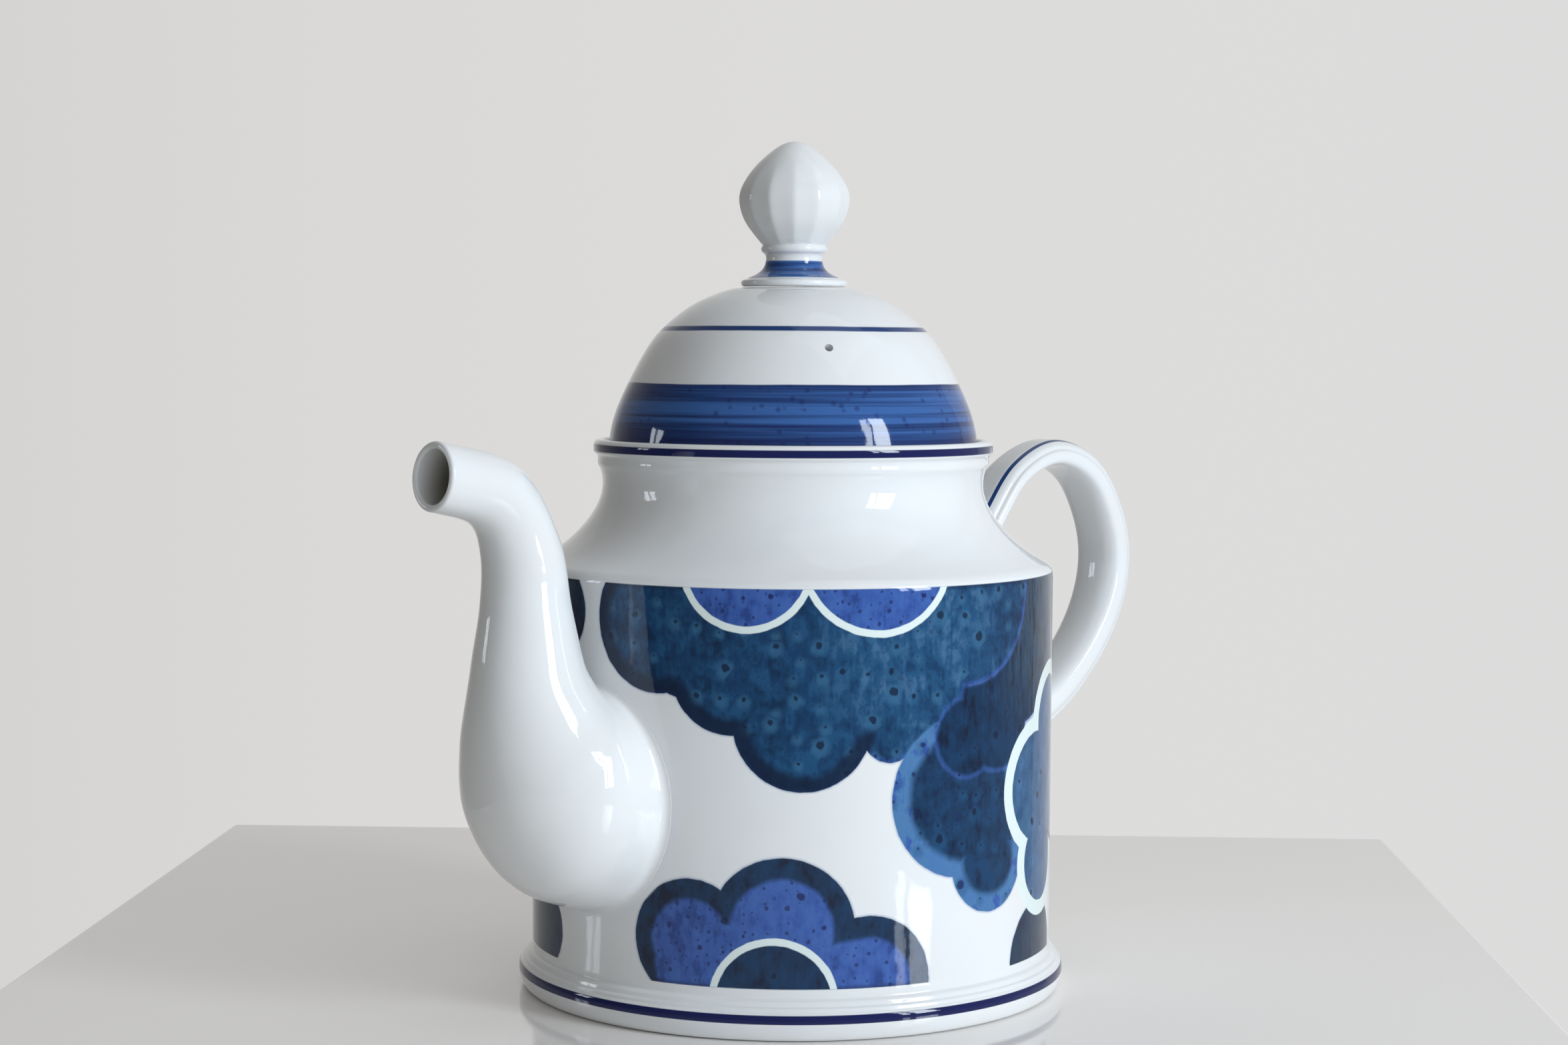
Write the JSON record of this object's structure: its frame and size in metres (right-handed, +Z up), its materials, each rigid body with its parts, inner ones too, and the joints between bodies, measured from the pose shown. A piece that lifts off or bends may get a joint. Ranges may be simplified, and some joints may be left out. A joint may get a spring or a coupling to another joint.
{
  "type": "porcelain teapot",
  "caption": "Straight-walled porcelain teapot with an S-shaped spout, an ear-shaped strap handle and a domed lift-off lid with a fluted knob.",
  "frame": {"origin": "middle of the pot's footprint box, on the surface it stands on", "axes": "+Z up; +X from the handle towards the spout; the pot's turning axis is parallel to Z, about 6 mm from the origin towards the spout"},
  "size_m": [0.2238, 0.1314, 0.2022],
  "materials": {
    "body_glaze": "clear glossy glaze over white porcelain with blue and teal-grey painted cloud shapes",
    "white_glaze": "clear glossy glaze over white porcelain",
    "handle_glaze": "clear glossy glaze over white porcelain with a thin blue line along one edge of the outer face",
    "lid_glaze": "clear glossy glaze over white porcelain with one broad and one thin cobalt band",
    "finial_glaze": "clear glossy glaze over white porcelain with a brushed cobalt band round the waist"
  },
  "bodies": {
    "pot": {"pot_body": "body_glaze", "spout": "white_glaze", "handle": "handle_glaze"},
    "lid": {"lid": "lid_glaze", "lid_finial": "finial_glaze"}
  },
  "joints": [
    {"name": "lid_lift", "type": "slide", "parent": "pot", "child": "lid", "axis": [0, 0, 1], "range_m": [0, 0.07]}
  ]
}
